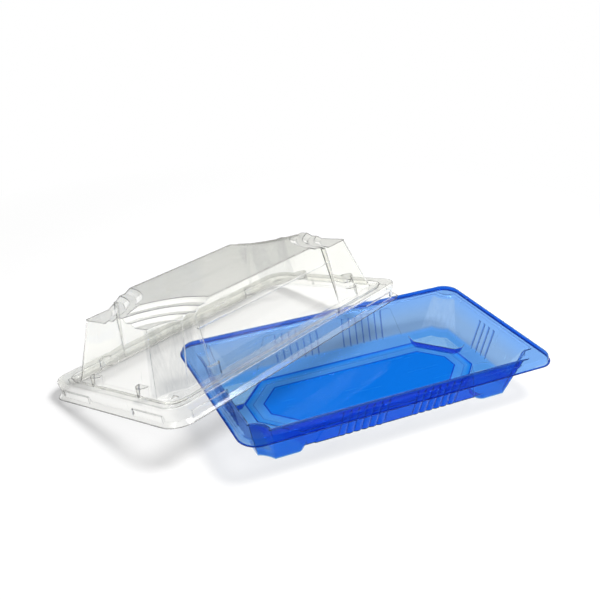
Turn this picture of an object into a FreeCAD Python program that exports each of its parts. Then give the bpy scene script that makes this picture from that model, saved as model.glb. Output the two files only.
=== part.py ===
"""Sushi tray and its clear press-fit lid, both thermoformed from thin plastic sheet.

Millimetres, X along the tray, Y across it, Z up. The tray stands on its four feet
at Z = 0. The lid lies beside it, one long rim edge on the floor and the other
leaning on the rim of the tray, open side down. The origin is on the floor under
the middle of the two.
"""
import FreeCAD, Part
import math
import os

V = FreeCAD.Vector

# Both sheets
SHEET = 0.5
SKIRT_ROUND = 1.4
BEND_SLANTS = 3

# Tray rim
TRAY_HEIGHT = 30.5
FLANGE_LENGTH = 212.0
FLANGE_WIDTH = 118.6
FLANGE_CORNER = 11.0
TRAY_SKIRT_DROP = 4.5
TRAY_SKIRT_FLARE = 0.4
TRAY_LIP = 0.8

# Tray cavity: drafts are millimetres inward for each millimetre down
CAVITY_LENGTH = 194.6
CAVITY_WIDTH = 102.4
FLOOR_DEPTH = 25.0
SIDE_DRAFT = 0.31
END_DRAFT = 0.28
STEP_WIDTH = 1.3
STEP_DEPTH = 1.2
STEP_RUN = 0.5
COLUMN_RADIUS = 9.5
COLUMN_DRAFT = 0.31

# Tray floor: an eight-sided step round a raised panel
FLOOR_HALF_LENGTH = 79.0
FLOOR_HALF_WIDTH = 31.4
FLOOR_END_HALF = 10.4
FLOOR_SIDE_HALF = 59.0
FLOOR_STEP_RUN = 3.0
FLOOR_STEP_DEPTH = 1.0
FLOOR_RING_INSET = 6.0
PANEL_INSET = 11.8
PANEL_RISE = 0.8

# Tray feet
FOOT_GAP = 1.2
FOOT_DRAFT = 0.3
FOOT_END_RADIUS = 5.0
FOOT_CORNER_RADIUS = 3.0
FOOT_BITE = 0.05

# Flutes of the long walls and grooves of the end walls
FLUTE_TOP = 4.4
FLUTE_PITCH = 5.2
FLUTE_DEPTH = 0.85
FLUTES_EACH = 6
FLUTE_START = 9.9
PLAIN_DEPTH = 0.6
PLAIN_END_TOP = 49.0
PLAIN_END_FOOT = 56.0
PLAIN_CORNER = 2.5
TROUGH_SLOPE = 1.2
GROOVE_PITCH = 5.2
GROOVES_EACH = 2
GROOVE_RADIUS = 1.2
GROOVE_DEPTH = 0.6
GROOVE_TOP = 4.6

# Lid rim: drops are below the flange top, borders from its edge to the well
LID_LENGTH = 217.8
LID_WIDTH = 125.4
LID_CORNER = 12.0
LID_SNAP_DROP = 8.6
LID_SNAP_IN = 1.3
LID_LIP_DROP = 11.6
LID_LIP_OUT = 1.6
WELL_END_BORDER = 7.4
WELL_SIDE_BORDER = 8.6
WELL_CORNER = 10.0
WELL_DEPTH = 2.0
WELL_RUN = 0.7

# Lid dome: heights are above the flange, drafts inward for each millimetre up, gaps from
# the edge of the well
DOME_END_GAP = 2.5
DOME_SIDE_GAP = 10.3
DOME_LENGTH = LID_LENGTH - 2 * (WELL_END_BORDER + DOME_END_GAP)
DOME_WIDTH = LID_WIDTH - 2 * (WELL_SIDE_BORDER + DOME_SIDE_GAP)
DOME_HEIGHT = 42.9
DOME_END_DRAFT = 0.30
DOME_SIDE_DRAFT = 0.19
DOME_EDGE_RADIUS = 2.5
DOME_COLUMN_FOOT = (8.0, 17.0)
DOME_COLUMN_TOP = (10.5, 19.0)
DOME_COLUMN_SAG = 0.16
DOME_COLUMN_STRIPS = 4
TERRACE_BOTTOM = 36.2
TERRACES = ((31.0, 35.0, 38.2), (39.5, 43.0, 40.6), (47.5, 52.0, DOME_HEIGHT))
BELLY_HALF_LENGTH = 61.5
BELLY_BEND_HEIGHT = 28.0
BELLY_BEND_HALF = 41.6
PANEL_HALF_WIDTH = 39.4
LUG_RADIUS = 4.7
LUG_OUT = 3.0
LUG_TOP = 4.6
LUG_END_AT = 23.0
LUG_SIDE_AT = (-59.0, 77.0)
PAD_LENGTH = 28.0
PAD_CORNER_GAP = 0.7
PAD_TOP = -5.3
PAD_FOOT = -9.8
PAD_SET_BACK = 0.3
STUD_IN = 6.3
STUD_OUT = 0.7
STUD_FOOT = 2.2
STUD_HEIGHT = 1.2

# Where the lid lies: turn about Z, lean about its long axis, tip about its short axis,
# and the middle of its right-hand flange edge from the floor under the tray's middle
LID_TURN = 24.4
LID_LEAN = -13.868
LID_TIP = -0.270
LID_END_AT = (36.9215, 115.2986, 27.6172)

# Middle of the set, tray and lid together, measured from the tray's middle
SET_MIDDLE = (-38.0, 53.0)

OVERRUN = 2.0


def arc_about(centre, radius, start, end):
    """Start, middle and end of the shorter arc between two points round a centre."""
    way = (start - centre) + (end - centre)
    way.normalize()
    return start, centre + way * radius, end


def corner_arc(before, corner, after, radius):
    """Arc of the given radius that rounds the corner between two straight sides."""
    back = before - corner
    back.normalize()
    ahead = after - corner
    ahead.normalize()
    half = back.getAngle(ahead) / 2
    reach = radius / math.tan(half)
    middle = back + ahead
    middle.normalize()
    centre = corner + middle * (radius / math.sin(half))
    return arc_about(centre, radius, corner + back * reach, corner + ahead * reach)


def outline(bends, z):
    """Closed wire at height z: bends joined by straight lines; a bend of three points is an arc."""
    edges = []
    for i, bend in enumerate(bends):
        points = [V(p.x, p.y, z) for p in bend]
        ahead = bends[(i + 1) % len(bends)][0]
        if len(points) == 3:
            edges.append(Part.Arc(*points).toShape())
            points = points[-1:]
        points.append(V(ahead.x, ahead.y, z))
        for start, end in zip(points, points[1:]):
            if start.distanceToPoint(end) > 1e-6:
                edges.append(Part.makeLine(start, end))
    return Part.Wire(edges)


def four_corners(arcs):
    """Carry the arcs of one corner to all four, anticlockwise from the +X +Y one."""
    turned = [arc[::-1] for arc in reversed(arcs)]
    result = []
    for sx, sy, part in ((1, 1, arcs), (-1, 1, turned), (-1, -1, arcs), (1, -1, turned)):
        for arc in part:
            result.append(tuple(V(sx * p.x, sy * p.y) for p in arc))
    return result


def rounded_rectangle(half_x, half_y, radius, z):
    """Wire of a rectangle with round corners."""
    corner = V(half_x, half_y)
    arc = corner_arc(V(half_x, 0), corner, V(0, half_y), radius)
    return outline(four_corners([arc]), z)


def rounded_polygon(points, radius, z):
    """Wire of a polygon with one rounding radius on every corner."""
    arcs = []
    for i, here in enumerate(points):
        arcs.append(corner_arc(points[i - 1], here, points[(i + 1) % len(points)], radius))
    return outline(arcs, z)


def inset(points, distance):
    """Move every side of an anticlockwise polygon inward by the distance."""
    result = []
    for i, here in enumerate(points):
        come = here - points[i - 1]
        go = points[(i + 1) % len(points)] - here
        come.normalize()
        go.normalize()
        first = V(-come.y, come.x)
        second = V(-go.y, go.x)
        result.append(here + (first + second) * (distance / (1 + first.dot(second))))
    return result


def polygon(points, z):
    """Wire of a polygon with sharp corners."""
    corners = [V(p.x, p.y, z) for p in points]
    return Part.makePolygon(corners + corners[:1])


def loft(*wires):
    """Solid with straight-ruled sides through a stack of wires; its flat sides are true planes."""
    faces = []
    for face in Part.makeLoft(list(wires), True, True).Faces:
        corners = [vertex.Point for vertex in face.OuterWire.OrderedVertexes]
        if len(corners) == 4 and face.OuterWire.findPlane():
            face = Part.Face(Part.makePolygon(corners + corners[:1]))
        faces.append(face)
    shell = Part.Shell(faces)
    shell.sewShape()
    return Part.Solid(shell)


def turned_over(half_x, half_y, radius, top, bend):
    """Outlines that carry a skirt over into its flat top, in a few equal slants."""
    wires = []
    for step in range(BEND_SLANTS + 1):
        angle = math.pi / 2 * step / BEND_SLANTS
        inward = bend * (1 - math.cos(angle))
        wires.append(rounded_rectangle(half_x - inward, half_y - inward, radius - inward,
                                       top - bend * (1 - math.sin(angle))))
    return wires


def mirrored(shape, normal):
    """The shape and its mirror image across the plane through the Z axis."""
    return [shape, shape.mirror(V(0, 0, 0), normal)]


# ---- tray ----

def cavity_half(depth, grow):
    """Half length and half width of the cavity at a depth below the flange."""
    return (CAVITY_LENGTH / 2 - END_DRAFT * depth + grow,
            CAVITY_WIDTH / 2 - SIDE_DRAFT * depth + grow)


def cavity_outline(z, grow):
    """Outline of the cavity's mouth, grown, with the round corner columns standing in it."""
    half_x, half_y = cavity_half(0, grow)
    centre = V(CAVITY_LENGTH / 2, CAVITY_WIDTH / 2)
    radius = COLUMN_RADIUS - grow
    low = V(half_x, centre.y - math.sqrt(radius ** 2 - grow ** 2))
    high = V(centre.x - math.sqrt(radius ** 2 - grow ** 2), half_y)
    return outline(four_corners([arc_about(centre, radius, low, high)]), z)


def tray_walls(depth, grow):
    """Drafted hollow of the cavity, with a conical column standing in each corner."""
    centre = V(CAVITY_LENGTH / 2, CAVITY_WIDTH / 2, TRAY_HEIGHT - depth)
    wires = []
    for low in (depth, 0):
        x, y = cavity_half(low, grow)
        wires.append(polygon([V(x, y), V(-x, y), V(-x, -y), V(x, -y)], TRAY_HEIGHT - low))
    narrow = COLUMN_RADIUS - grow
    column = Part.makeCone(narrow + COLUMN_DRAFT * depth, narrow, depth, centre, V(0, 0, 1))
    columns = []
    for half in mirrored(column, V(1, 0, 0)):
        columns += mirrored(half, V(0, 1, 0))
    return loft(*wires).cut(columns[0].multiFuse(columns[1:]))


def floor_octagon(distance):
    """Eight-sided outline of the floor step, moved inward by the distance."""
    points = []
    for sx, sy in ((1, 1), (-1, 1), (-1, -1), (1, -1)):
        end = V(sx * FLOOR_HALF_LENGTH, sy * FLOOR_END_HALF)
        side = V(sx * FLOOR_SIDE_HALF, sy * FLOOR_HALF_WIDTH)
        points += [end, side] if sx * sy > 0 else [side, end]
    return inset(points, distance)


def floor_step(grow):
    """Shallow recess of the floor with its raised middle panel left standing."""
    top = TRAY_HEIGHT - FLOOR_DEPTH
    low = top - FLOOR_STEP_DEPTH
    recess = loft(polygon(floor_octagon(-grow), top + OVERRUN),
                  polygon(floor_octagon(-grow), top - grow),
                  polygon(floor_octagon(FLOOR_STEP_RUN - grow), low - grow))
    panel = loft(polygon(floor_octagon(FLOOR_RING_INSET), low - grow),
                 polygon(floor_octagon(PANEL_INSET), low - grow + PANEL_RISE))
    return recess.cut(panel)


def foot_wire(depth, grow):
    """Outline of one foot block, open past the walls, round where it meets them."""
    half_x, half_y = cavity_half(depth, grow)
    inner = [V(half_x, FLOOR_END_HALF), V(half_x, half_y), V(FLOOR_SIDE_HALF, half_y),
             V(FLOOR_SIDE_HALF, FLOOR_HALF_WIDTH), V(FLOOR_HALF_LENGTH, FLOOR_END_HALF)]
    moved = inset(inner, FOOT_GAP + FOOT_DRAFT * (depth - FLOOR_DEPTH) - grow)
    bend, turn = moved[3], moved[4]
    wide = FOOT_END_RADIUS + grow
    tight = FOOT_CORNER_RADIUS + grow
    at_x, at_y = half_x + FOOT_BITE, half_y + FOOT_BITE
    end = corner_arc(turn, V(at_x, turn.y), V(at_x, at_y), wide)
    side = corner_arc(V(at_x, at_y), V(bend.x, at_y), bend, wide)
    past = OVERRUN * 2
    corners = [V(at_x + past, end[2].y), V(at_x + past, at_y + past), V(side[0].x, at_y + past)]
    bends = [end] + [[corner] for corner in corners]
    bends += [side, corner_arc(side[2], bend, turn, tight), corner_arc(bend, turn, end[0], tight)]
    return outline(bends, TRAY_HEIGHT - depth)


def feet(grow):
    """Blocks that let the hollow reach below the floor at the four feet."""
    foot = loft(foot_wire(TRAY_HEIGHT - SHEET + grow, grow), foot_wire(FLOOR_DEPTH - OVERRUN, grow))
    pair = mirrored(foot, V(1, 0, 0))
    return pair + [half.mirror(V(0, 0, 0), V(0, 1, 0)) for half in pair]


def wall_frame(draft, half):
    """Top point, downward and outward directions of a wall, as (across, up) pairs."""
    down = V(-draft, -1)
    down.normalize()
    out = V(-down.y, down.x)
    return V(half, TRAY_HEIGHT), down, out


def trough(place, across, head, foot, radius, depth, grow):
    """Round channel down a wall, from a sloped head to its foot; place maps wall to space."""
    low = place(across, foot, depth - radius)
    up = place(across, 0, 0) - place(across, 1, 0)
    outward = place(across, 0, 1) - place(across, 0, 0)
    side = outward.cross(up)
    rise = up * (foot - head + OVERRUN + depth)
    reach = side * (radius + grow)
    half = Part.Face(Part.makePolygon([low, low + rise, low + rise + reach, low + reach, low]))
    bar = half.revolve(low, up, 180)
    inner, outer = -OVERRUN, depth + OVERRUN
    view = [V(foot, inner), V(foot, outer), V(head + TROUGH_SLOPE * outer, outer),
            V(head + TROUGH_SLOPE * inner, inner)]
    corners = [place(across, p.x, p.y) + reach for p in inset(view, -grow)]
    wedge = Part.Face(Part.makePolygon(corners + corners[:1])).extrude(reach * -2)
    return bar.common(wedge)


def long_wall_relief(grow):
    """Flutes of one long wall with the plain fields between and beside them."""
    origin, down, out = wall_frame(SIDE_DRAFT, CAVITY_WIDTH / 2)
    slope = math.hypot(1, SIDE_DRAFT)
    radius = (FLUTE_PITCH ** 2 / 4 + FLUTE_DEPTH ** 2) / (2 * FLUTE_DEPTH)

    def place(x, along, outward):
        p = origin + down * along + out * outward
        return V(x, p.x, p.y)

    pieces = []
    foot = FLOOR_DEPTH * slope
    high = FLUTE_TOP * slope
    for i in range(FLUTES_EACH):
        x = FLUTE_START + FLUTE_PITCH * (i + 0.5)
        flute = trough(place, x, high, foot + OVERRUN, radius, FLUTE_DEPTH, grow)
        pieces += mirrored(flute, V(1, 0, 0))
    flutes_end = FLUTE_START + FLUTE_PITCH * FLUTES_EACH
    tall = foot + 2 * PLAIN_CORNER
    lean = (PLAIN_END_FOOT - PLAIN_END_TOP) / (foot - high)
    field = [V(flutes_end, high), V(PLAIN_END_TOP, high),
             V(PLAIN_END_TOP + lean * (tall - high), tall), V(flutes_end, tall)]
    middle = [V(-FLUTE_START, high), V(FLUTE_START, high),
              V(FLUTE_START, tall), V(-FLUTE_START, tall)]
    for shape in (field, middle):
        face = Part.Face(rounded_polygon(inset(shape, -grow), PLAIN_CORNER, 0))
        plate = face.extrude(V(0, 0, OVERRUN + PLAIN_DEPTH + grow))
        turn = FreeCAD.Matrix(1, 0, 0, 0, 0, down.x, out.x, 0, 0, down.y, out.y, 0, 0, 0, 0, 1)
        turn.move(place(0, 0, -OVERRUN))
        plate = plate.transformGeometry(turn)
        pieces += mirrored(plate, V(1, 0, 0)) if shape is field else [plate]
    return pieces


def end_wall_relief(grow):
    """Narrow upright grooves of one end wall."""
    origin, down, out = wall_frame(END_DRAFT, CAVITY_LENGTH / 2)
    slope = math.hypot(1, END_DRAFT)

    def place(y, along, outward):
        p = origin + down * along + out * outward
        return V(p.x, y, p.y)

    pieces = []
    for i in range(GROOVES_EACH):
        groove = trough(place, GROOVE_PITCH * (i + 0.5), GROOVE_TOP * slope,
                        FLOOR_DEPTH * slope + OVERRUN, GROOVE_RADIUS, GROOVE_DEPTH, grow)
        pieces += mirrored(groove, V(0, 1, 0))
    return pieces


def tray_form(grow):
    """Whole hollow of the tray; grown by the sheet it is the outside of the cup."""
    relief = []
    for piece in long_wall_relief(grow):
        relief += mirrored(piece, V(0, 1, 0))
    for piece in end_wall_relief(grow):
        relief += mirrored(piece, V(1, 0, 0))
    above = Part.makeBox(FLANGE_LENGTH, FLANGE_WIDTH, FLOOR_DEPTH + grow,
                         V(-FLANGE_LENGTH / 2, -FLANGE_WIDTH / 2, TRAY_HEIGHT - FLOOR_DEPTH - grow))
    relief = [piece.common(above) for piece in relief]
    walls = tray_walls(TRAY_HEIGHT - SHEET + grow, grow)
    core = walls.common(above.multiFuse([floor_step(grow)] + feet(grow)))
    ledge = loft(cavity_outline(TRAY_HEIGHT - STEP_DEPTH - grow, grow + STEP_WIDTH - STEP_RUN),
                 cavity_outline(TRAY_HEIGHT, grow + STEP_WIDTH))
    return core.multiFuse([ledge] + relief)


def tray_rim(shrink):
    """Block under the flange top, out to the skirt and the cut edge."""
    top = TRAY_HEIGHT - shrink
    low = TRAY_HEIGHT - TRAY_SKIRT_DROP - (OVERRUN if shrink else 0)
    half_x = FLANGE_LENGTH / 2 - shrink
    half_y = FLANGE_WIDTH / 2 - shrink
    flare = TRAY_SKIRT_FLARE * (top - low) / TRAY_SKIRT_DROP
    radius = FLANGE_CORNER - shrink
    return loft(rounded_rectangle(half_x + flare, half_y + flare, radius + flare, low),
                *turned_over(half_x, half_y, radius, top, SKIRT_ROUND - shrink))


def tray():
    """Blue base: flange, skirt and lip round a fluted cup with four feet."""
    low = TRAY_HEIGHT - TRAY_SKIRT_DROP
    reach = TRAY_SKIRT_FLARE + TRAY_LIP
    lip = loft(rounded_rectangle(FLANGE_LENGTH / 2 + reach, FLANGE_WIDTH / 2 + reach,
                                 FLANGE_CORNER + reach, low),
               rounded_rectangle(FLANGE_LENGTH / 2 + reach, FLANGE_WIDTH / 2 + reach,
                                 FLANGE_CORNER + reach, low + SHEET))
    rim = tray_rim(0).fuse(lip).cut(tray_rim(SHEET))
    return rim.fuse(tray_form(SHEET)).cut(tray_form(0)).removeSplitter()


# ---- lid, built about the centre of its own flange top ----

def lid_rim(shrink):
    """Block under the lid flange, in to the snap line and out to the cut edge."""
    half_x = LID_LENGTH / 2 - shrink
    half_y = LID_WIDTH / 2 - shrink
    radius = LID_CORNER - shrink
    lip = LID_LIP_OUT
    upper = loft(rounded_rectangle(half_x - LID_SNAP_IN, half_y - LID_SNAP_IN,
                                   radius - LID_SNAP_IN, -LID_SNAP_DROP),
                 *turned_over(half_x, half_y, radius, -shrink, SKIRT_ROUND - shrink))
    lower = loft(rounded_rectangle(half_x + lip, half_y + lip, radius + lip, -LID_LIP_DROP),
                 rounded_rectangle(half_x - LID_SNAP_IN, half_y - LID_SNAP_IN,
                                   radius - LID_SNAP_IN, -LID_SNAP_DROP))
    return upper.fuse(lower)


def lid_well(grow):
    """Shallow recess of the flange round the foot of the dome."""
    half_x = LID_LENGTH / 2 - WELL_END_BORDER + grow
    half_y = LID_WIDTH / 2 - WELL_SIDE_BORDER + grow
    radius = WELL_CORNER + grow
    low = -WELL_DEPTH - grow
    return loft(rounded_rectangle(half_x - WELL_RUN, half_y - WELL_RUN, radius - WELL_RUN, low),
                rounded_rectangle(half_x, half_y, radius, 0))


def dome_wire(z, share, shrink):
    """Dome outline: two edges rounded, two hollowed by upright strips that widen upward."""
    half_x = DOME_LENGTH / 2 - DOME_END_DRAFT * (z + WELL_DEPTH) - shrink
    half_y = DOME_WIDTH / 2 - DOME_SIDE_DRAFT * (z + WELL_DEPTH) - shrink
    legs = [a + (b - a) * share for a, b in zip(DOME_COLUMN_FOOT, DOME_COLUMN_TOP)]
    start = V(half_x, half_y - legs[0])
    end = V(half_x - legs[1], half_y)
    chord = end - start
    hollow = (start + end) * 0.5 + V(-chord.y, chord.x) * DOME_COLUMN_SAG
    column = Part.Arc(start, hollow, end).toShape().discretize(Number=DOME_COLUMN_STRIPS + 1)
    edge = corner_arc(V(0, half_y), V(-half_x, half_y), V(-half_x, 0), DOME_EDGE_RADIUS)
    bends = [column, edge]
    bends += [[V(-p.x, -p.y) for p in bend] for bend in bends]
    return outline(bends, z)


def belly(shrink):
    """Fuller middle of the long walls, bent in to the edge of the top panel."""
    top = DOME_HEIGHT - shrink
    side = [V(DOME_WIDTH / 2 - shrink, -WELL_DEPTH), V(BELLY_BEND_HALF - shrink, BELLY_BEND_HEIGHT),
            V(PANEL_HALF_WIDTH - shrink, top)]
    profile = side + [V(-p.x, p.y) for p in reversed(side)]
    half = BELLY_HALF_LENGTH - shrink
    points = [V(-half, p.x, p.y) for p in profile]
    return Part.Face(Part.makePolygon(points + points[:1])).extrude(V(2 * half, 0, 0))


def terrace_cutter(shrink):
    """What is missing above the terraces that ring one corner of the dome."""
    profile = [V(0, 0, TERRACE_BOTTOM - shrink)]
    level = TERRACE_BOTTOM
    for foot, lip, height in TERRACES:
        profile.append(V(foot, 0, level - shrink))
        profile.append(V(lip, 0, height - shrink))
        level = height
    reach, ceiling = profile[-1].x, DOME_HEIGHT + OVERRUN
    profile += [V(reach, 0, ceiling), V(0, 0, ceiling)]
    cutter = Part.Face(Part.makePolygon(profile + profile[:1])).revolve(V(0, 0, 0), V(0, 0, 1), 360)
    return cutter


def dome(shrink):
    """Dome block with its four terraced corners."""
    foot = -WELL_DEPTH - OVERRUN
    top = DOME_HEIGHT - shrink
    body = loft(dome_wire(foot, 0, shrink), dome_wire(top, 1, shrink)).fuse(belly(shrink))
    cutter = terrace_cutter(shrink)
    for sx in (-1, 1):
        for sy in (-1, 1):
            corner = cutter.copy()
            corner.translate(V(sx * DOME_LENGTH / 2, sy * DOME_WIDTH / 2, 0))
            body = body.cut(corner)
    return body


def turned_about(shape):
    """The shape and its copy turned half round the lid's middle."""
    return [shape, shape.rotated(V(0, 0, 0), V(0, 0, 1), 180)]


def lugs(shrink):
    """Half-round stacking lugs at the foot of the dome, two on each wall."""
    foot = -WELL_DEPTH - OVERRUN
    sunk = LUG_RADIUS - LUG_OUT
    end_x, side_y = DOME_LENGTH / 2 - sunk, DOME_WIDTH / 2 - sunk
    places = [(end_x, LUG_END_AT, 0), (end_x, -LUG_END_AT, 0)]
    places += [(x, -side_y, -90) for x in LUG_SIDE_AT]
    pieces = []
    for x, y, facing in places:
        lug = Part.makeCylinder(LUG_RADIUS - shrink, LUG_TOP - shrink - foot, V(x, y, foot))
        lug.rotate(V(x, y, 0), V(0, 0, 1), facing + 180)
        pieces += turned_about(lug)
    return pieces


def snap_pads(shrink):
    """Raised pads low on the skirt beside each corner, which hold the lid on its tray."""
    pieces = []
    for half, across in ((LID_LENGTH / 2, LID_WIDTH / 2), (LID_WIDTH / 2, LID_LENGTH / 2)):
        reach = across - LID_CORNER - PAD_CORNER_GAP
        width = PAD_LENGTH - 2 * shrink
        depth = LID_CORNER - PAD_SET_BACK - shrink
        pad = Part.makeBox(depth, width, PAD_TOP - shrink - PAD_FOOT,
                           V(half - LID_CORNER, reach - shrink - width, PAD_FOOT))
        for piece in mirrored(pad, V(0, 1, 0)):
            if half < across:
                piece = piece.rotated(V(0, 0, 0), V(0, 0, 1), 90)
            pieces += turned_about(piece)
    return pieces


def studs(shrink):
    """Small eight-sided studs that stand in the well beside the two hollow columns."""
    wires = []
    centre = V(DOME_LENGTH / 2 - STUD_IN, DOME_WIDTH / 2 + STUD_OUT)
    for z, radius in ((-WELL_DEPTH - OVERRUN, STUD_FOOT + OVERRUN),
                      (STUD_HEIGHT - WELL_DEPTH - shrink, STUD_FOOT - STUD_HEIGHT)):
        corners = []
        for i in range(8):
            angle = math.pi / 4 * i
            corners.append(centre + V(math.cos(angle), math.sin(angle)) * (radius - shrink / 2))
        wires.append(polygon(corners, z))
    return turned_about(loft(*wires))


def lid_form(shrink):
    """Whole outside of the lid; shrunk by the sheet it is the inside."""
    extras = [dome(shrink)] + lugs(shrink) + snap_pads(shrink) + studs(shrink)
    return lid_rim(shrink).cut(lid_well(shrink)).multiFuse(extras)


def lid():
    """Clear lid, laid in its place against the tray."""
    shape = lid_form(0).cut(lid_form(SHEET)).removeSplitter()
    turn = FreeCAD.Rotation(V(0, 0, 1), LID_TURN)
    lean = FreeCAD.Rotation(V(1, 0, 0), LID_LEAN)
    tip = FreeCAD.Rotation(V(0, 1, 0), LID_TIP)
    set_down = turn * lean * tip
    middle = V(*LID_END_AT) - set_down.multVec(V(LID_LENGTH / 2, 0, 0))
    shape.Placement = FreeCAD.Placement(middle, set_down)
    return shape


os.makedirs("parts", exist_ok=True)
for name, make in (("tray", tray), ("lid", lid)):
    piece = make()
    piece.translate(V(-SET_MIDDLE[0], -SET_MIDDLE[1], 0))
    print(name, piece.isValid(), len(piece.Solids), round(piece.Volume, 1), piece.BoundBox)
    piece.exportStep("parts/" + name + ".step")
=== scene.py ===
import math

import bmesh
import bpy
from mathutils import Matrix, Vector


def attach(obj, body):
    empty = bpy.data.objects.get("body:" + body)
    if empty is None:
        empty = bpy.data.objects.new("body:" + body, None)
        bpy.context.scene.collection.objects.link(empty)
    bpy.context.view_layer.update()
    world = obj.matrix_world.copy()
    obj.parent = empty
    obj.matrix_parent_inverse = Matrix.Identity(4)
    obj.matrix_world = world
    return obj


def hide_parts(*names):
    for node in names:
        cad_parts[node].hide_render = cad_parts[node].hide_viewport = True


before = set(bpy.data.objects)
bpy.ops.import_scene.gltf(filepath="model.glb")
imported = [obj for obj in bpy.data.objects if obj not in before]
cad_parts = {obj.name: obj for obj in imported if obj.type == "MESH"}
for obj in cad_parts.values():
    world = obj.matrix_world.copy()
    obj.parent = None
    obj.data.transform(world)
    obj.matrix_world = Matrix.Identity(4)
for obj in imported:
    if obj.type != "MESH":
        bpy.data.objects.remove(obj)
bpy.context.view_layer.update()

# The tray: one sheet of blue plastic, softened by heat and drawn down into a mould, then
# trimmed all round its rim. The sheet keeps its full colour in the floor and feet, is drawn
# thin and pale in the walls, and looks darkest along the trimmed edge. The floor's deep blue
# is partly painted shade: the blue of light that reaches the floor beneath only through the
# sheet.

# Sizes in metres: outwards from the tray's middle, and up from the floor it stands on.
TRAY_MIDDLE = (0.038, -0.053, 0.0)
TRAY_TOP = 0.0305
TRAY_RIM_HALF = Vector((0.106, 0.0593, 0.0))
TRAY_RIM_CORNER = 0.011
TRAY_SKIRT_IN, TRAY_SKIRT_TOP = 0.0009, 0.0290
TRAY_EDGE_OUT, TRAY_EDGE_TOP = 0.0003, 0.0267
TRAY_FLANGE_FROM, TRAY_FLANGE_FADE = 0.004, 0.002
TRAY_STEPS = (0.0036, 0.0058)
TRAY_FOOT_TOP, TRAY_FOOT_FADE = 0.0046, 0.0006
TRAY_FLOOR_TOP = 0.0056
TRAY_WALLS_FROM, TRAY_WALLS_TO = 0.0076, 0.0262
TRAY_WALLS_PALE = (0.0290, 0.0170)
TRAY_FRONT_FROM, TRAY_FRONT_FADE = 0.0405, 0.003
FLOOR_STEP_HALF = (0.079, 0.0314)
FLOOR_STEP_SLANT = (21 / 29, 20 / 29, 0.06438)
FLOOR_STEP_EDGE = 0.0003
FLOOR_BANDS_FROM, FLOOR_BANDS_TO = -0.020, 0.0004
CAVITY_CORNER = (0.0973, 0.0512)
CAVITY_DRAFT = (0.28, 0.31)
TRAY_COLUMN_RADIUS, TRAY_COLUMN_TOP, TRAY_COLUMN_FADE = 0.0101, 0.0275, 0.0004
FLUTES_FROM, FLUTES_TO, FLUTE_PITCH = 0.0095, 0.0415, 0.0052
FLUTE_FIRST, FLUTE_HALF, FLUTE_FADE = 0.0099, 0.00022, 0.0004
FLUTES_ACROSS = (0.0425, 0.0535)
GROOVES_TO, GROOVE_PITCH, GROOVE_HALF, GROOVE_FADE = 0.0094, 0.0052, 0.0003, 0.0005
GROOVES_ALONG = (0.0895, 0.100)
RIBS_FROM = 0.0068
SAME_PLACE, SAME_LEVEL = 2e-6, 1e-5
SHARP_BEND = math.radians(34.0)
FAINT_BEND = math.radians(5.0)

# Colours of the sheet where light crosses it once, with the floor's from its panel outwards.
# The floor's blues also hold painted shade, the blue of light that crossed the sheet on its way
# down to the floor beneath; the 'light' bands are painted highlights on the steps' slopes, and
# the 'line' bands painted shade along the steps' bends.
FLOOR_BANDS = ((0.0, "floor"), (0.412, "floor"), (0.424, "line"), (0.450, "line"),
               (0.462, "light"), (0.724, "light"), (0.736, "line"), (0.750, "line"),
               (0.762, "mid"), (0.955, "mid"), (0.970, "line"), (1.0, "line"))
BLUES = {"floor": (0.003, 0.205, 0.88, 1), "mid": (0.010, 0.240, 0.90, 1),
         "light": (0.060, 0.310, 0.90, 1), "line": (0.002, 0.05, 0.62, 1)}
TRAY_BORDER_BLUE = (0.12, 0.37, 0.88, 1)
# The feet's blue is darker than the border's, a painted shade in their pockets.
TRAY_FOOT_BLUE = (0.10, 0.35, 0.84, 1)
TRAY_WALL_BLUE = (0.22, 0.385, 0.66, 1)
TRAY_RIM_BLUE = (0.18, 0.385, 0.80, 1)
# The near long wall's deeper blue is a painted shade.
TRAY_NEAR_SHADE_BLUE = (0.02, 0.275, 0.90, 1)
# The corner columns' frost is partly a painted reflection, paler where they mirror the light.
TRAY_FROST_AND_REFLECTION_BLUE = (0.29, 0.46, 0.74, 1)
# Painted shade along the bends of the flutes and grooves.
TRAY_BEND_SHADE_BLUE = (0.03, 0.12, 0.52, 1)
TRAY_SKIRT_BLUE = (0.04, 0.27, 0.86, 1)
TRAY_EDGE_BLUE = (0.006, 0.05, 0.42, 1)
TRAY_MIRRORED_BLUE = (0.05, 0.4, 1.0, 1)
TRAY_SHADE = (0.85, 0.86, 0.88, 1)
TRAY_RIM_SHADE = (0.78, 0.79, 0.81, 1)
# How much of that painted shade the flutes' and grooves' bends take.
RIBS_SHADE = 0.75

# Finish: polished faces, fine scratches, and waves and streaks left by the mould.
TRAY_BEND_RADIUS, BEND_SAMPLES = 0.0007, 6
TRAY_WAVE_SCALE, TRAY_WAVES, WAVE_DEPTH = 70.0, 0.06, 0.0004
TRAY_POLISH, TRAY_SCRATCHED = 0.05, 0.35
TRAY_IOR = 1.22
SCRATCH_TURN, SCRATCH_SCALE, SCRATCH_THIN = math.radians(28), (26, 900, 40), (0.66, 0.74)
STREAK_SCALE, STREAK_FROM, STREAK_TO, STREAK_LEAST = (700, 700, 12), 0.3, 0.7, 0.4


def tray_sharp_from(start, end):
    """The level edges of the floor's shallow steps are crisp as well."""
    stepped = all(TRAY_STEPS[0] < place.z < TRAY_STEPS[1] for place in (start, end))
    return FAINT_BEND if stepped and abs(start.z - end.z) < SAME_LEVEL else SHARP_BEND


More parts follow.
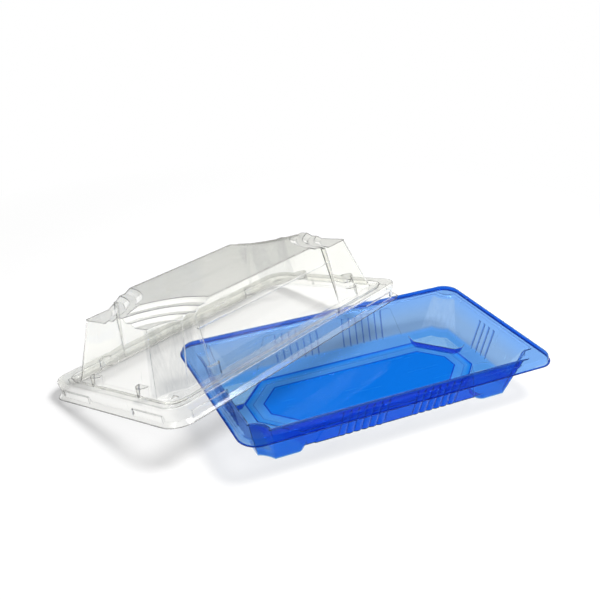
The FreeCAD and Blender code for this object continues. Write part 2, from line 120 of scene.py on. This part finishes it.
def formed_sheet(node, name, sharp_from):
    """The node's own shape with its facets joined, smooth over its bends and level on its flats.

    sharp_from gives the angle from which the edge between two places is a crisp bend.
    """
    sheet = bmesh.new()
    sheet.from_mesh(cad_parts[node].data)
    bmesh.ops.remove_doubles(sheet, verts=sheet.verts, dist=SAME_PLACE)
    for face in sheet.faces:
        face.smooth = True
    for edge in sheet.edges:
        edge.smooth = edge.calc_face_angle(0.0) < sharp_from(*(vert.co for vert in edge.verts))
    mesh = bpy.data.meshes.new(name)
    sheet.to_mesh(mesh)
    sheet.free()
    rough = bpy.data.objects.new(name + "_rough", mesh)
    bpy.context.scene.collection.objects.link(rough)
    level = rough.modifiers.new("level", "WEIGHTED_NORMAL")
    level.weight = 100
    level.keep_sharp = True
    finished = rough.evaluated_get(bpy.context.evaluated_depsgraph_get())
    piece = bpy.data.objects.new(name, bpy.data.meshes.new_from_object(finished))
    bpy.data.objects.remove(rough)
    bpy.context.scene.collection.objects.link(piece)
    return piece


def material(name):
    """A new material and its emptied node tree."""
    made = bpy.data.materials.new(name)
    made.use_nodes = True
    made.node_tree.nodes.clear()
    return made, made.node_tree


def add(tree, kind, links=None, **settings):
    """A node with its settings and inputs given by name; links name the inputs that are fed."""
    node = tree.nodes.new(kind)
    for key, value in settings.items():
        if hasattr(node, key):
            setattr(node, key, value)
        else:
            node.inputs[key.replace("_", " ")].default_value = value
    for key, source in (links or {}).items():
        tree.links.new(source, node.inputs[key])
    return node


def maths(tree, operation, *values):
    """One Math node; its inputs are numbers or other nodes' outputs."""
    node = tree.nodes.new("ShaderNodeMath")
    node.operation = operation
    for socket, value in zip(node.inputs, values):
        if isinstance(value, (int, float)):
            socket.default_value = value
        else:
            tree.links.new(value, socket)
    return node.outputs[0]


def all_of(tree, first, *others):
    """A mask that is one only where each of the masks is."""
    for other in others:
        first = maths(tree, "MULTIPLY", first, other)
    return first


def fading(tree, value, start, end):
    """A mask that goes from zero at start to one at end."""
    return add(tree, "ShaderNodeMapRange", {"Value": value}, From_Min=start,
               From_Max=end).outputs["Result"]


def between(tree, value, low, high, fade=0.0002):
    """One where the value lies from low to high, fading out past them; None is no limit."""
    limits = []
    if low is not None:
        limits.append(fading(tree, value, low - fade, low))
    if high is not None:
        limits.append(fading(tree, value, high + fade, high))
    return all_of(tree, *limits)


def blend(tree, factor, first, second):
    """Mix of two colours, each a plain colour or another node's output."""
    node = add(tree, "ShaderNodeMix", {"Factor": factor}, data_type="RGBA")
    for name, value in (("A", first), ("B", second)):
        socket = [each for each in node.inputs if each.name == name and each.type == "RGBA"][0]
        if isinstance(value, tuple):
            socket.default_value = value
        else:
            tree.links.new(value, socket)
    return [each for each in node.outputs if each.type == "RGBA"][0]


def split(tree, vector):
    """The three measures of a place, by their letters."""
    return add(tree, "ShaderNodeSeparateXYZ", {0: vector}).outputs


def sheet_detail():
    """Group for moulded sheet: slow waves and upright streaks from the mould, fine scratches."""
    group = bpy.data.node_groups.new("sheet_detail", "ShaderNodeTree")
    group.interface.new_socket("Place", in_out="INPUT", socket_type="NodeSocketVector")
    group.interface.new_socket("Wave Scale", in_out="INPUT", socket_type="NodeSocketFloat")
    for name in ("Height", "Scratches", "Streaks"):
        group.interface.new_socket(name, in_out="OUTPUT", socket_type="NodeSocketFloat")
    given = add(group, "NodeGroupInput").outputs
    wave = add(group, "ShaderNodeTexNoise", {"Vector": given["Place"],
                                             "Scale": given["Wave Scale"]},
               Detail=2.0, Roughness=0.5)
    turned = add(group, "ShaderNodeMapping", {"Vector": given["Place"]},
                 Rotation=(0, 0, SCRATCH_TURN), Scale=SCRATCH_SCALE)
    line = add(group, "ShaderNodeTexNoise", {"Vector": turned.outputs[0]}, Scale=1.0, Detail=2.0,
               Roughness=0.6)
    upright = add(group, "ShaderNodeMapping", {"Vector": given["Place"]}, Scale=STREAK_SCALE)
    streak = add(group, "ShaderNodeTexNoise", {"Vector": upright.outputs[0]}, Scale=1.0,
                 Detail=2.0)
    streaky = add(group, "ShaderNodeMapRange", {"Value": streak.outputs["Fac"]},
                  From_Min=STREAK_FROM, From_Max=STREAK_TO, To_Min=STREAK_LEAST, To_Max=1.0)
    add(group, "NodeGroupOutput", {"Height": wave.outputs["Fac"],
                                   "Scratches": fading(group, line.outputs["Fac"], *SCRATCH_THIN),
                                   "Streaks": streaky.outputs["Result"]})
    return group


def rounded(tree, detail, radius, waves):
    """Normals with the sheet's bends rounded off, without and with the mould's slow waves."""
    bend = add(tree, "ShaderNodeBevel", Radius=radius)
    bend.samples = BEND_SAMPLES
    waved = add(tree, "ShaderNodeBump", {"Height": detail.outputs["Height"],
                                         "Normal": bend.outputs[0]}, Strength=waves,
                Distance=WAVE_DEPTH)
    return bend.outputs[0], waved.outputs["Normal"]


def polish(tree, detail, smooth, scratched):
    """Roughness of the sheet, from its polished face to the bottom of a scratch."""
    return add(tree, "ShaderNodeMapRange", {"Value": detail.outputs["Scratches"]},
               To_Min=smooth, To_Max=scratched).outputs["Result"]


def thin_sheet(tree, sheet, shade):
    """Ends a material: light bound for another surface passes the thin sheet as a plain shade."""
    clear = add(tree, "ShaderNodeBsdfTransparent", {"Color": shade})
    ray = add(tree, "ShaderNodeLightPath")
    for kind in ("Is Diffuse Ray", "Is Shadow Ray"):
        sheet = add(tree, "ShaderNodeMixShader", {0: ray.outputs[kind], 1: sheet.outputs[0],
                                                  2: clear.outputs[0]})
    add(tree, "ShaderNodeOutputMaterial", {"Surface": sheet.outputs[0]})


detail_group = sheet_detail()
tray_sheet = formed_sheet("tray", "tray_sheet", tray_sharp_from)
tray_blue, tree = material("translucent_blue")
where = add(tree, "ShaderNodeTexCoord")
centred = add(tree, "ShaderNodeVectorMath", {0: where.outputs["Object"]}, operation="SUBTRACT")
centred.inputs[1].default_value = TRAY_MIDDLE
place = split(tree, centred.outputs[0])
flat = add(tree, "ShaderNodeVectorMath", {0: centred.outputs[0]}, operation="ABSOLUTE")
out = split(tree, flat.outputs[0])
detail = add(tree, "ShaderNodeGroup", {"Place": centred.outputs[0]}, node_tree=detail_group)
detail.inputs["Wave Scale"].default_value = TRAY_WAVE_SCALE

# Floor and feet: bands that follow the eight-sided steps outwards, with painted highlights
# on their slopes and painted shade along their bends, then the pale border. The feet are
# painted darker, a painted shade in their pockets.
slanted = maths(tree, "ADD", maths(tree, "MULTIPLY", out["X"], FLOOR_STEP_SLANT[0]),
                maths(tree, "MULTIPLY", out["Y"], FLOOR_STEP_SLANT[1]))
step = maths(tree, "MAXIMUM", maths(tree, "SUBTRACT", out["X"], FLOOR_STEP_HALF[0]),
             maths(tree, "SUBTRACT", out["Y"], FLOOR_STEP_HALF[1]))
step = maths(tree, "MAXIMUM", step, maths(tree, "SUBTRACT", slanted, FLOOR_STEP_SLANT[2]))
bands = add(tree, "ShaderNodeValToRGB",
            {"Fac": fading(tree, step, FLOOR_BANDS_FROM, FLOOR_BANDS_TO)})
while len(bands.color_ramp.elements) < len(FLOOR_BANDS):
    bands.color_ramp.elements.new(1.0)
for mark, (start, blue) in zip(bands.color_ramp.elements, FLOOR_BANDS):
    mark.position = start
    mark.color = BLUES[blue]
base = blend(tree, maths(tree, "LESS_THAN", step, FLOOR_STEP_EDGE), TRAY_BORDER_BLUE,
             bands.outputs["Color"])
base = blend(tree, fading(tree, place["Z"], TRAY_FOOT_TOP, TRAY_FOOT_TOP - TRAY_FOOT_FADE),
             base, TRAY_FOOT_BLUE)

# Walls: drawn thinner and paler downwards, frosted and streaked on the corner columns, whose
# paler blue is also a painted reflection, and painted deeper blue in the near long wall, a
# painted shade, as that wall stands in shade with the blue floor behind it.
wall = blend(tree, fading(tree, place["Z"], *TRAY_WALLS_PALE), TRAY_RIM_BLUE, TRAY_WALL_BLUE)
body = blend(tree, fading(tree, place["Z"], TRAY_FLOOR_TOP, TRAY_WALLS_FROM), base, wall)
depth = maths(tree, "SUBTRACT", TRAY_TOP, place["Z"])
from_axis = add(tree, "ShaderNodeCombineXYZ")
for axis, corner, draft in zip("XY", CAVITY_CORNER, CAVITY_DRAFT):
    at_top = maths(tree, "ADD", out[axis], maths(tree, "MULTIPLY", depth, draft))
    tree.links.new(maths(tree, "SUBTRACT", at_top, corner), from_axis.inputs[axis])
distance = add(tree, "ShaderNodeVectorMath", {0: from_axis.outputs[0]}, operation="LENGTH")
beyond = maths(tree, "SUBTRACT", distance.outputs["Value"],
               maths(tree, "MULTIPLY", depth, CAVITY_DRAFT[1]))
column = all_of(tree, between(tree, beyond, None, TRAY_COLUMN_RADIUS, TRAY_COLUMN_FADE),
                between(tree, place["Z"], TRAY_WALLS_FROM, TRAY_COLUMN_TOP),
                detail.outputs["Streaks"])
body = blend(tree, column, body, TRAY_FROST_AND_REFLECTION_BLUE)
nearer = fading(tree, place["Y"], -TRAY_FRONT_FROM, -TRAY_FRONT_FROM - TRAY_FRONT_FADE)
below_rim = maths(tree, "LESS_THAN", place["Z"], TRAY_WALLS_TO)
body = blend(tree, all_of(tree, nearer, below_rim), body, TRAY_NEAR_SHADE_BLUE)

# Flutes of the long walls and grooves of the end walls: darker along their bends, a painted
# shade.
ridge = maths(tree, "PINGPONG", maths(tree, "SUBTRACT", out["X"], FLUTE_FIRST), FLUTE_PITCH / 2)
flutes = all_of(tree, between(tree, ridge, None, FLUTE_HALF, FLUTE_FADE),
                between(tree, out["X"], FLUTES_FROM, FLUTES_TO),
                between(tree, out["Y"], *FLUTES_ACROSS))
groove = maths(tree, "PINGPONG", maths(tree, "ADD", out["Y"], GROOVE_PITCH / 2),
               GROOVE_PITCH / 2)
grooves = all_of(tree, between(tree, groove, None, GROOVE_HALF, GROOVE_FADE),
                 between(tree, out["Y"], None, GROOVES_TO),
                 between(tree, out["X"], *GROOVES_ALONG))
ribs = all_of(tree, maths(tree, "MAXIMUM", flutes, grooves),
              between(tree, place["Z"], RIBS_FROM, TRAY_WALLS_TO))
body = blend(tree, maths(tree, "MULTIPLY", ribs, RIBS_SHADE), body, TRAY_BEND_SHADE_BLUE)

# Rim: a deep blue skirt, except in front, and a dark line along the trimmed edge.
past = add(tree, "ShaderNodeVectorMath", {0: flat.outputs[0]}, operation="SUBTRACT")
past.inputs[1].default_value = TRAY_RIM_HALF - Vector((TRAY_RIM_CORNER, TRAY_RIM_CORNER, 0))
past = add(tree, "ShaderNodeVectorMath", {0: past.outputs[0]}, operation="MAXIMUM")
level = add(tree, "ShaderNodeVectorMath", {0: past.outputs[0]}, operation="MULTIPLY")
level.inputs[1].default_value = (1, 1, 0)
reach = add(tree, "ShaderNodeVectorMath", {0: level.outputs[0]},
            operation="LENGTH").outputs["Value"]
skirt = all_of(tree, between(tree, reach, TRAY_RIM_CORNER - TRAY_SKIRT_IN, None),
               maths(tree, "LESS_THAN", place["Z"], TRAY_SKIRT_TOP),
               maths(tree, "SUBTRACT", 1.0, nearer))
body = blend(tree, skirt, body, TRAY_SKIRT_BLUE)
edge = all_of(tree, between(tree, reach, TRAY_RIM_CORNER + TRAY_EDGE_OUT, None),
              maths(tree, "LESS_THAN", place["Z"], TRAY_EDGE_TOP))
body = blend(tree, edge, body, TRAY_EDGE_BLUE)

waved = rounded(tree, detail, TRAY_BEND_RADIUS, TRAY_WAVES)[1]
sheet = add(tree, "ShaderNodeBsdfPrincipled",
            {"Base Color": body, "Normal": waved,
             "Roughness": polish(tree, detail, TRAY_POLISH, TRAY_SCRATCHED)},
            IOR=TRAY_IOR, Transmission_Weight=1.0, Specular_Tint=TRAY_MIRRORED_BLUE)
flange = between(tree, reach, TRAY_FLANGE_FROM, None, TRAY_FLANGE_FADE)
thin_sheet(tree, sheet, blend(tree, flange, TRAY_SHADE, TRAY_RIM_SHADE))
tray_sheet.data.materials.append(tray_blue)
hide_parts("tray")
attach(tray_sheet, "root")

# The lid: one sheet of clear plastic formed over a mould as the tray is, set down on the floor
# on one long edge of its rim and leaning on the tray. Its top panel is painted grey, a painted
# shade and reflection for the shadow seen through it and the dim room it mirrors. The mould has
# left upright streaks on its two hollow columns, which are also painted greyer, a painted
# reflection.
LID_CLEAR = (0.984, 0.985, 0.960, 1)
# The columns' grey: partly frost, partly a painted reflection.
LID_FROST_AND_REFLECTION = (0.80, 0.81, 0.80, 1)
# The top panel's grey: a painted shade and a painted reflection.
LID_PANEL_SHADE = (0.885, 0.888, 0.858, 1)
LID_LINE = (0.62, 0.62, 0.60, 1)
LID_SHADE = (0.93, 0.93, 0.93, 1)
LID_RIM_SHADE = (0.68, 0.68, 0.68, 1)
LID_TURNED, LID_LEANED, LID_TIPPED = (math.radians(each) for each in (24.4, -13.868, -0.270))
LID_TURN = (Matrix.Rotation(LID_TURNED, 3, "Z") @ Matrix.Rotation(LID_LEANED, 3, "X")
            @ Matrix.Rotation(LID_TIPPED, 3, "Y"))
LID_HALF = 0.1089
LID_END = Vector((0.0749215, 0.0622986, 0.0276172))
LID_MIDDLE = LID_END - LID_TURN @ Vector((LID_HALF, 0, 0))
LID_FLANGE_FROM, LID_FLANGE_FADE = (0.1025, 0.0550), 0.001
LID_TRIM_TOP, LID_TRIM_LINE, LID_LINES = -0.0112, 0.6, 0.7
PANEL_FROM, PANEL_HALF, PANEL_BRINK_FROM = 0.0416, 0.0392, 0.0389
DOME_HALF = (0.099, 0.0438)
DOME_DRAFT = (0.30, 0.19)
DOME_FOOT = -0.002
LID_COLUMN_REACH = (0.0178, 0.0090)
LID_COLUMN_BAND, LID_COLUMN_FADE = (0.5, 1.45), 0.02
LID_COLUMN_HEIGHT = (-0.0012, 0.0352)
BEAD_AT, BEAD_HALF, BEAD_FADE, BEAD_DEPTH = 0.028, 0.0002, 0.0005, 0.00025
BELLY_HALF_LENGTH, BELLY_OUT_FROM = 0.0612, 0.0395
TERRACES_FROM = 0.0355
TERRACE_BEND = math.radians(20.0)
LID_BEND_RADIUS, LID_WAVE_SCALE, LID_WAVES = 0.0008, 90.0, 0.08
LID_POLISH, LID_SCRATCHED = 0.05, 0.3
CREASE_FROM, CREASE_ROUGHNESS = 0.9, 0.15
LID_IOR = 1.46


def lid_sharp_from(start, end):
    """The terraces at the dome's corners have crisp bends of a smaller angle."""
    heights = [(LID_TURN.transposed() @ (place - LID_MIDDLE)).z for place in (start, end)]
    return TERRACE_BEND if min(heights) > TERRACES_FROM else SHARP_BEND


lid_sheet = formed_sheet("lid", "lid_sheet", lid_sharp_from)
lid_clear, tree = material("clear")
where = add(tree, "ShaderNodeTexCoord")
own = add(tree, "ShaderNodeMapping", {"Vector": where.outputs["Object"]}, vector_type="TEXTURE",
          Location=LID_MIDDLE, Rotation=LID_TURN.to_euler())
place = split(tree, own.outputs[0])
flat = add(tree, "ShaderNodeVectorMath", {0: own.outputs[0]}, operation="ABSOLUTE")
out = split(tree, flat.outputs[0])
detail = add(tree, "ShaderNodeGroup", {"Place": own.outputs[0]}, node_tree=detail_group)
detail.inputs["Wave Scale"].default_value = LID_WAVE_SCALE

# Top panel, painted grey as shade and reflection, and the two columns at the corners where
# length and width have the same sign, frosted and painted greyer as a reflection.
on_top = between(tree, place["Z"], PANEL_FROM, None)
body = blend(tree, all_of(tree, on_top, between(tree, out["Y"], None, PANEL_HALF)), LID_CLEAR,
             LID_PANEL_SHADE)
same_side = maths(tree, "GREATER_THAN", maths(tree, "MULTIPLY", place["X"], place["Y"]), 0.0)
rise = maths(tree, "SUBTRACT", place["Z"], DOME_FOOT)
inwards = []
for axis, half, draft, column_reach in zip("XY", DOME_HALF, DOME_DRAFT, LID_COLUMN_REACH):
    at_foot = maths(tree, "ADD", out[axis], maths(tree, "MULTIPLY", rise, draft))
    inwards.append(maths(tree, "DIVIDE", maths(tree, "SUBTRACT", half, at_foot), column_reach))
column = all_of(tree, between(tree, maths(tree, "ADD", *inwards), *LID_COLUMN_BAND,
                              LID_COLUMN_FADE),
                same_side, between(tree, place["Z"], *LID_COLUMN_HEIGHT),
                detail.outputs["Streaks"])
body = blend(tree, column, body, LID_FROST_AND_REFLECTION)

# Lines: the panel's brink is a painted shade line along its bend, the trimmed edge is dark,
# and the belly's bead is raised and clear.
brink = all_of(tree, between(tree, out["Y"], PANEL_BRINK_FROM, PANEL_HALF), on_top)
trimmed = between(tree, place["Z"], None, LID_TRIM_TOP)
lines = maths(tree, "MAXIMUM", brink, maths(tree, "MULTIPLY", trimmed, LID_TRIM_LINE))
body = blend(tree, maths(tree, "MULTIPLY", lines, LID_LINES), body, LID_LINE)
from_bead = maths(tree, "ABSOLUTE", maths(tree, "SUBTRACT", place["Z"], BEAD_AT))
bead = all_of(tree, between(tree, from_bead, None, BEAD_HALF, BEAD_FADE),
              between(tree, out["X"], None, BELLY_HALF_LENGTH),
              between(tree, out["Y"], BELLY_OUT_FROM, None))

bend, waved = rounded(tree, detail, LID_BEND_RADIUS, LID_WAVES)
facing = add(tree, "ShaderNodeNewGeometry")
turned = add(tree, "ShaderNodeVectorMath", {0: bend, 1: facing.outputs["Normal"]},
             operation="DOT_PRODUCT")
creased = add(tree, "ShaderNodeMapRange", {"Value": turned.outputs["Value"]}, From_Min=1.0,
              From_Max=CREASE_FROM, To_Min=0.0, To_Max=CREASE_ROUGHNESS)
beaded = add(tree, "ShaderNodeBump", {"Height": bead, "Normal": waved}, Strength=1.0,
             Distance=BEAD_DEPTH)
roughness = maths(tree, "ADD", polish(tree, detail, LID_POLISH, LID_SCRATCHED),
                  creased.outputs["Result"])
sheet = add(tree, "ShaderNodeBsdfPrincipled",
            {"Base Color": body, "Normal": beaded.outputs["Normal"], "Roughness": roughness},
            IOR=LID_IOR, Transmission_Weight=1.0)
flange = maths(tree, "MAXIMUM", *(between(tree, out[axis], start, None, LID_FLANGE_FADE)
                                  for axis, start in zip("XY", LID_FLANGE_FROM)))
thin_sheet(tree, sheet, blend(tree, flange, LID_SHADE, LID_RIM_SHADE))
lid_sheet.data.materials.append(lid_clear)
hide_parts("lid")
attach(lid_sheet, "root")

# The stand: a plain white floor. It keeps the shadow of the set, and away from the set it is
# white of its own, as a lit sweep of paper is.
FLOOR_HALF = 6.0
FLOOR_WHITE_OF_ITS_OWN = (0.20, 0.46)
FLOOR_PAPER = (0.8, 0.8, 0.8, 1)
FLOOR_LIFT = 0.17
corners = [(x * FLOOR_HALF, y * FLOOR_HALF, 0) for x, y in ((-1, -1), (1, -1), (1, 1), (-1, 1))]
floor_mesh = bpy.data.meshes.new("floor")
floor_mesh.from_pydata(corners, [], [(0, 1, 2, 3)])
floor = bpy.data.objects.new("floor", floor_mesh)
bpy.context.scene.collection.objects.link(floor)
floor_white, tree = material("floor_white")
where = add(tree, "ShaderNodeTexCoord")
away = add(tree, "ShaderNodeVectorMath", {0: where.outputs["Object"]}, operation="LENGTH")
matt = add(tree, "ShaderNodeBsdfDiffuse", Color=FLOOR_PAPER)
lift = add(tree, "ShaderNodeEmission", Strength=FLOOR_LIFT)
near = add(tree, "ShaderNodeAddShader", {0: matt.outputs[0], 1: lift.outputs[0]})
far = add(tree, "ShaderNodeEmission", Strength=1.0)
paper = add(tree, "ShaderNodeMixShader",
            {0: fading(tree, away.outputs["Value"], *FLOOR_WHITE_OF_ITS_OWN),
             1: near.outputs[0], 2: far.outputs[0]})
ray = add(tree, "ShaderNodeLightPath")
seen = maths(tree, "MAXIMUM", ray.outputs["Is Camera Ray"], ray.outputs["Is Glossy Ray"])
seen = maths(tree, "MAXIMUM", seen, ray.outputs["Is Transmission Ray"])
mix = add(tree, "ShaderNodeMixShader", {0: seen, 1: matt.outputs[0], 2: paper.outputs[0]})
add(tree, "ShaderNodeOutputMaterial", {"Surface": mix.outputs[0]})
floor_mesh.materials.append(floor_white)

# The room: plain soft light from all round, white where it is seen past the floor. Where the
# sheets mirror it, it is dim with a bright ceiling; through them it is white near the floor.
ROOM_FILL = 0.26
ROOM_IN_SHEETS = (("Is Glossy Ray", 0.06, 3.5), ("Is Transmission Ray", 0.34, 1.0))
CEILING_FROM, CEILING_TO = 0.55, 0.75
LEVEL_FROM, LEVEL_TO = 0.3, 0.1


def glow(tree, strength):
    """An even white light from far off."""
    return add(tree, "ShaderNodeBackground", Color=(1, 1, 1, 1), Strength=strength)


room = bpy.data.worlds.new("room")
bpy.context.scene.world = room
room.use_nodes = True
tree = room.node_tree
tree.nodes.clear()
heading = add(tree, "ShaderNodeTexCoord")
upward = split(tree, heading.outputs["Generated"])["Z"]
ceiling = fading(tree, upward, CEILING_FROM, CEILING_TO)
level = fading(tree, upward, LEVEL_FROM, LEVEL_TO)
ray = add(tree, "ShaderNodeLightPath")
light = glow(tree, ROOM_FILL)
for kind, below, above in ROOM_IN_SHEETS:
    sky = add(tree, "ShaderNodeMixShader", {0: ceiling, 1: glow(tree, below).outputs[0],
                                            2: glow(tree, above).outputs[0]})
    light = add(tree, "ShaderNodeMixShader", {0: ray.outputs[kind], 1: light.outputs[0],
                                              2: sky.outputs[0]})
through = maths(tree, "MULTIPLY", ray.outputs["Is Transmission Ray"], level)
mix = add(tree, "ShaderNodeMixShader",
          {0: maths(tree, "MAXIMUM", ray.outputs["Is Camera Ray"], through),
           1: light.outputs[0], 2: glow(tree, 1.0).outputs[0]})
add(tree, "ShaderNodeOutputWorld", {"Surface": mix.outputs[0]})

# The lamps: one wide soft light from the front right, kept out of what the sheets mirror so that
# it leaves no hard patch on them, and three narrow strips that draw lines along the rims. Each
# has its heading, its distance, its width and length, and its power.
KEY_LIGHT = ((0.43, -0.32, 1.15), 1.42, 0.5, 0.5, 19.0)
STRIPS = {"right_strip": ((0.74, -0.05, 0.67), 1.3, 0.05, 0.7, 0.6),
          "left_strip": ((-0.75, -0.10, 0.63), 1.3, 0.05, 0.7, 1.4),
          "back_strip": ((-0.35, 0.60, 0.72), 1.3, 0.05, 0.5, 1.0)}


def softbox(name, heading, distance, width, length, power):
    """A soft light of the given width and length, out along a heading and facing the set."""
    light = bpy.data.lights.new(name, "AREA")
    light.shape = "RECTANGLE"
    light.size, light.size_y = width, length
    light.energy = power
    lamp = bpy.data.objects.new(name, light)
    lamp.location = Vector(heading).normalized() * distance
    lamp.rotation_euler = (-lamp.location).to_track_quat("-Z", "Y").to_euler()
    bpy.context.scene.collection.objects.link(lamp)
    return lamp


softbox("key_light", *KEY_LIGHT).visible_glossy = False
for name, measures in STRIPS.items():
    softbox(name, *measures)

# The camera: three quarters from the front left, looking down at 27 degrees.
CAMERA_PLACE = Vector((-0.1963, -0.4533, 0.3021))
CAMERA_HEADING = Vector((0.4264, 0.9045))
CAMERA_PITCH = 0.4714
ahead = Vector((CAMERA_HEADING.x * math.cos(CAMERA_PITCH),
                CAMERA_HEADING.y * math.cos(CAMERA_PITCH), -math.sin(CAMERA_PITCH)))
lens = bpy.data.cameras.new("camera")
lens.lens = 50
lens.sensor_width = 36
camera = bpy.data.objects.new("camera", lens)
camera.location = CAMERA_PLACE
camera.rotation_euler = ahead.to_track_quat("-Z", "Y").to_euler()
bpy.context.scene.collection.objects.link(camera)
bpy.context.scene.camera = camera
bpy.context.scene.view_settings.view_transform = "Standard"
